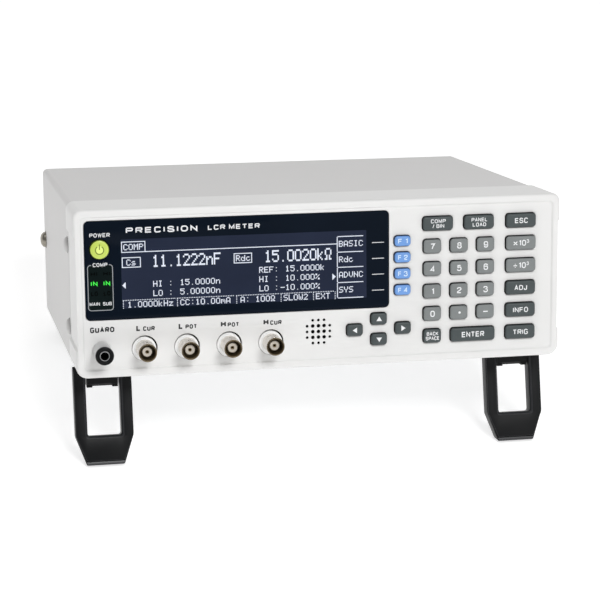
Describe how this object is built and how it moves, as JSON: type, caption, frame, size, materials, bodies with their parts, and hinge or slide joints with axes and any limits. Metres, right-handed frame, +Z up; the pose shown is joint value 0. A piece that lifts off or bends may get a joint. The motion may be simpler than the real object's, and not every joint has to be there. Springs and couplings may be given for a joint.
{
  "type": "lcr meter",
  "caption": "Half-rack bench component meter with a dark display window, keypad, coaxial measuring jacks, guard post and fold-out stand legs.",
  "frame": {"origin": "bottom centre of the bounding box: on the floor, midway between the sides and midway front to back", "axes": "+X to the right seen from the front, +Y from the front panel to the back, +Z up; the case is tipped back 14.1 degrees"},
  "size_m": [0.2652, 0.2298, 0.1421],
  "materials": {
    "bezel_white": "fine satin texture",
    "cover_grey": "light grey satin paint",
    "chassis_steel": "plated sheet",
    "window_dark": "clear sheet with a dark printed back, glossy",
    "module_dark": "glossy display face",
    "power_lit": "translucent, lit from behind",
    "number_key": "satin, white legends",
    "dark_key": "satin, white legends",
    "soft_key": "satin, pale legends",
    "nickel": "nickel plated",
    "terminal_grey": "moulded sleeve on a metal post",
    "leg_black": "fine texture",
    "foot_rubber": "matte",
    "black_plastic": "matte",
    "mat_rubber": "matte silicone",
    "board_green": "solder-resist coated glass epoxy"
  },
  "bodies": {
    "case": {"bnc_low_current": "nickel", "bnc_low_potential": "nickel", "bnc_high_potential": "nickel", "bnc_high_current": "nickel", "front_bezel": "bezel_white", "display_window": "window_dark", "display_module": "module_dark", "key_mat": "mat_rubber", "key_board": "board_green", "main_board": "board_green", "guard_terminal": "terminal_grey", "speaker": "black_plastic", "top_cover": "cover_grey", "bottom_chassis": "chassis_steel", "rear_panel": "cover_grey", "side_screw_left": "nickel", "side_screw_right": "nickel", "mains_inlet": "black_plastic", "main_switch_frame": "black_plastic", "ext_io_connector": "nickel", "interface_slot_cover": "cover_grey", "power_supply": "chassis_steel", "front_foot_left": "leg_black", "rear_foot_left": "foot_rubber", "front_foot_right": "leg_black", "rear_foot_right": "foot_rubber"},
    "key_0": {"key_0": "number_key"},
    "key_point": {"key_point": "number_key"},
    "key_minus": {"key_minus": "number_key"},
    "key_1": {"key_1": "number_key"},
    "key_2": {"key_2": "number_key"},
    "key_3": {"key_3": "number_key"},
    "key_4": {"key_4": "number_key"},
    "key_5": {"key_5": "number_key"},
    "key_6": {"key_6": "number_key"},
    "key_7": {"key_7": "number_key"},
    "key_8": {"key_8": "number_key"},
    "key_9": {"key_9": "number_key"},
    "key_trig": {"key_trig": "dark_key"},
    "key_info": {"key_info": "dark_key"},
    "key_adj": {"key_adj": "dark_key"},
    "key_divide_1000": {"key_divide_1000": "number_key"},
    "key_times_1000": {"key_times_1000": "number_key"},
    "key_esc": {"key_esc": "dark_key"},
    "key_comp_bin": {"key_comp_bin": "dark_key"},
    "key_panel_load": {"key_panel_load": "dark_key"},
    "key_back_space": {"key_back_space": "dark_key"},
    "key_enter": {"key_enter": "dark_key"},
    "key_f1": {"key_f1": "soft_key"},
    "key_f2": {"key_f2": "soft_key"},
    "key_f3": {"key_f3": "soft_key"},
    "key_f4": {"key_f4": "soft_key"},
    "key_left": {"key_left": "dark_key"},
    "key_right": {"key_right": "dark_key"},
    "key_up": {"key_up": "dark_key"},
    "key_down": {"key_down": "dark_key"},
    "power_button": {"power_button": "power_lit"},
    "main_switch_rocker": {"main_switch_rocker": "black_plastic"},
    "stand_leg_left": {"stand_leg_left": "leg_black"},
    "stand_leg_right": {"stand_leg_right": "leg_black"}
  },
  "joints": [
    {"name": "stand_leg_right_fold", "type": "hinge", "parent": "case", "child": "stand_leg_right", "pos_m": [0.1137, -0.07074, 0.04429], "axis": [1, 0, 0], "range_deg": [0, 98]},
    {"name": "stand_leg_left_fold", "type": "hinge", "parent": "case", "child": "stand_leg_left", "pos_m": [-0.1137, -0.07074, 0.04429], "axis": [1, 0, 0], "range_deg": [0, 98]},
    {"name": "main_switch_rock", "type": "hinge", "parent": "case", "child": "main_switch_rocker", "pos_m": [0.062, 0.0952, 0.03623], "axis": [1, 0, 0], "range_deg": [-15, 0]},
    {"name": "power_button_press", "type": "slide", "parent": "case", "child": "power_button", "axis": [0, 0.9699, -0.2436], "range_m": [0, 0.0008], "stiffness_N_per_m": 1000, "springref_m": -0.0005},
    {"name": "key_down_press", "type": "slide", "parent": "case", "child": "key_down", "axis": [0, 0.9699, -0.2436], "range_m": [0, 0.0008], "stiffness_N_per_m": 1000, "springref_m": -0.0005},
    {"name": "key_up_press", "type": "slide", "parent": "case", "child": "key_up", "axis": [0, 0.9699, -0.2436], "range_m": [0, 0.0008], "stiffness_N_per_m": 1000, "springref_m": -0.0005},
    {"name": "key_right_press", "type": "slide", "parent": "case", "child": "key_right", "axis": [0, 0.9699, -0.2436], "range_m": [0, 0.0008], "stiffness_N_per_m": 1000, "springref_m": -0.0005},
    {"name": "key_left_press", "type": "slide", "parent": "case", "child": "key_left", "axis": [0, 0.9699, -0.2436], "range_m": [0, 0.0008], "stiffness_N_per_m": 1000, "springref_m": -0.0005},
    {"name": "key_f4_press", "type": "slide", "parent": "case", "child": "key_f4", "axis": [0, 0.9699, -0.2436], "range_m": [0, 0.0008], "stiffness_N_per_m": 1000, "springref_m": -0.0005},
    {"name": "key_f3_press", "type": "slide", "parent": "case", "child": "key_f3", "axis": [0, 0.9699, -0.2436], "range_m": [0, 0.0008], "stiffness_N_per_m": 1000, "springref_m": -0.0005},
    {"name": "key_f2_press", "type": "slide", "parent": "case", "child": "key_f2", "axis": [0, 0.9699, -0.2436], "range_m": [0, 0.0008], "stiffness_N_per_m": 1000, "springref_m": -0.0005},
    {"name": "key_f1_press", "type": "slide", "parent": "case", "child": "key_f1", "axis": [0, 0.9699, -0.2436], "range_m": [0, 0.0008], "stiffness_N_per_m": 1000, "springref_m": -0.0005},
    {"name": "key_enter_press", "type": "slide", "parent": "case", "child": "key_enter", "axis": [0, 0.9699, -0.2436], "range_m": [0, 0.0008], "stiffness_N_per_m": 1000, "springref_m": -0.0005},
    {"name": "key_back_space_press", "type": "slide", "parent": "case", "child": "key_back_space", "axis": [0, 0.9699, -0.2436], "range_m": [0, 0.0008], "stiffness_N_per_m": 1000, "springref_m": -0.0005},
    {"name": "key_panel_load_press", "type": "slide", "parent": "case", "child": "key_panel_load", "axis": [0, 0.9699, -0.2436], "range_m": [0, 0.0008], "stiffness_N_per_m": 1000, "springref_m": -0.0005},
    {"name": "key_comp_bin_press", "type": "slide", "parent": "case", "child": "key_comp_bin", "axis": [0, 0.9699, -0.2436], "range_m": [0, 0.0008], "stiffness_N_per_m": 1000, "springref_m": -0.0005},
    {"name": "key_esc_press", "type": "slide", "parent": "case", "child": "key_esc", "axis": [0, 0.9699, -0.2436], "range_m": [0, 0.0008], "stiffness_N_per_m": 1000, "springref_m": -0.0005},
    {"name": "key_times_1000_press", "type": "slide", "parent": "case", "child": "key_times_1000", "axis": [0, 0.9699, -0.2436], "range_m": [0, 0.0008], "stiffness_N_per_m": 1000, "springref_m": -0.0005},
    {"name": "key_divide_1000_press", "type": "slide", "parent": "case", "child": "key_divide_1000", "axis": [0, 0.9699, -0.2436], "range_m": [0, 0.0008], "stiffness_N_per_m": 1000, "springref_m": -0.0005},
    {"name": "key_adj_press", "type": "slide", "parent": "case", "child": "key_adj", "axis": [0, 0.9699, -0.2436], "range_m": [0, 0.0008], "stiffness_N_per_m": 1000, "springref_m": -0.0005},
    {"name": "key_info_press", "type": "slide", "parent": "case", "child": "key_info", "axis": [0, 0.9699, -0.2436], "range_m": [0, 0.0008], "stiffness_N_per_m": 1000, "springref_m": -0.0005},
    {"name": "key_trig_press", "type": "slide", "parent": "case", "child": "key_trig", "axis": [0, 0.9699, -0.2436], "range_m": [0, 0.0008], "stiffness_N_per_m": 1000, "springref_m": -0.0005},
    {"name": "key_9_press", "type": "slide", "parent": "case", "child": "key_9", "axis": [0, 0.9699, -0.2436], "range_m": [0, 0.0008], "stiffness_N_per_m": 1000, "springref_m": -0.0005},
    {"name": "key_8_press", "type": "slide", "parent": "case", "child": "key_8", "axis": [0, 0.9699, -0.2436], "range_m": [0, 0.0008], "stiffness_N_per_m": 1000, "springref_m": -0.0005},
    {"name": "key_7_press", "type": "slide", "parent": "case", "child": "key_7", "axis": [0, 0.9699, -0.2436], "range_m": [0, 0.0008], "stiffness_N_per_m": 1000, "springref_m": -0.0005},
    {"name": "key_6_press", "type": "slide", "parent": "case", "child": "key_6", "axis": [0, 0.9699, -0.2436], "range_m": [0, 0.0008], "stiffness_N_per_m": 1000, "springref_m": -0.0005},
    {"name": "key_5_press", "type": "slide", "parent": "case", "child": "key_5", "axis": [0, 0.9699, -0.2436], "range_m": [0, 0.0008], "stiffness_N_per_m": 1000, "springref_m": -0.0005},
    {"name": "key_4_press", "type": "slide", "parent": "case", "child": "key_4", "axis": [0, 0.9699, -0.2436], "range_m": [0, 0.0008], "stiffness_N_per_m": 1000, "springref_m": -0.0005},
    {"name": "key_3_press", "type": "slide", "parent": "case", "child": "key_3", "axis": [0, 0.9699, -0.2436], "range_m": [0, 0.0008], "stiffness_N_per_m": 1000, "springref_m": -0.0005},
    {"name": "key_2_press", "type": "slide", "parent": "case", "child": "key_2", "axis": [0, 0.9699, -0.2436], "range_m": [0, 0.0008], "stiffness_N_per_m": 1000, "springref_m": -0.0005},
    {"name": "key_1_press", "type": "slide", "parent": "case", "child": "key_1", "axis": [0, 0.9699, -0.2436], "range_m": [0, 0.0008], "stiffness_N_per_m": 1000, "springref_m": -0.0005},
    {"name": "key_minus_press", "type": "slide", "parent": "case", "child": "key_minus", "axis": [0, 0.9699, -0.2436], "range_m": [0, 0.0008], "stiffness_N_per_m": 1000, "springref_m": -0.0005},
    {"name": "key_point_press", "type": "slide", "parent": "case", "child": "key_point", "axis": [0, 0.9699, -0.2436], "range_m": [0, 0.0008], "stiffness_N_per_m": 1000, "springref_m": -0.0005},
    {"name": "key_0_press", "type": "slide", "parent": "case", "child": "key_0", "axis": [0, 0.9699, -0.2436], "range_m": [0, 0.0008], "stiffness_N_per_m": 1000, "springref_m": -0.0005}
  ]
}
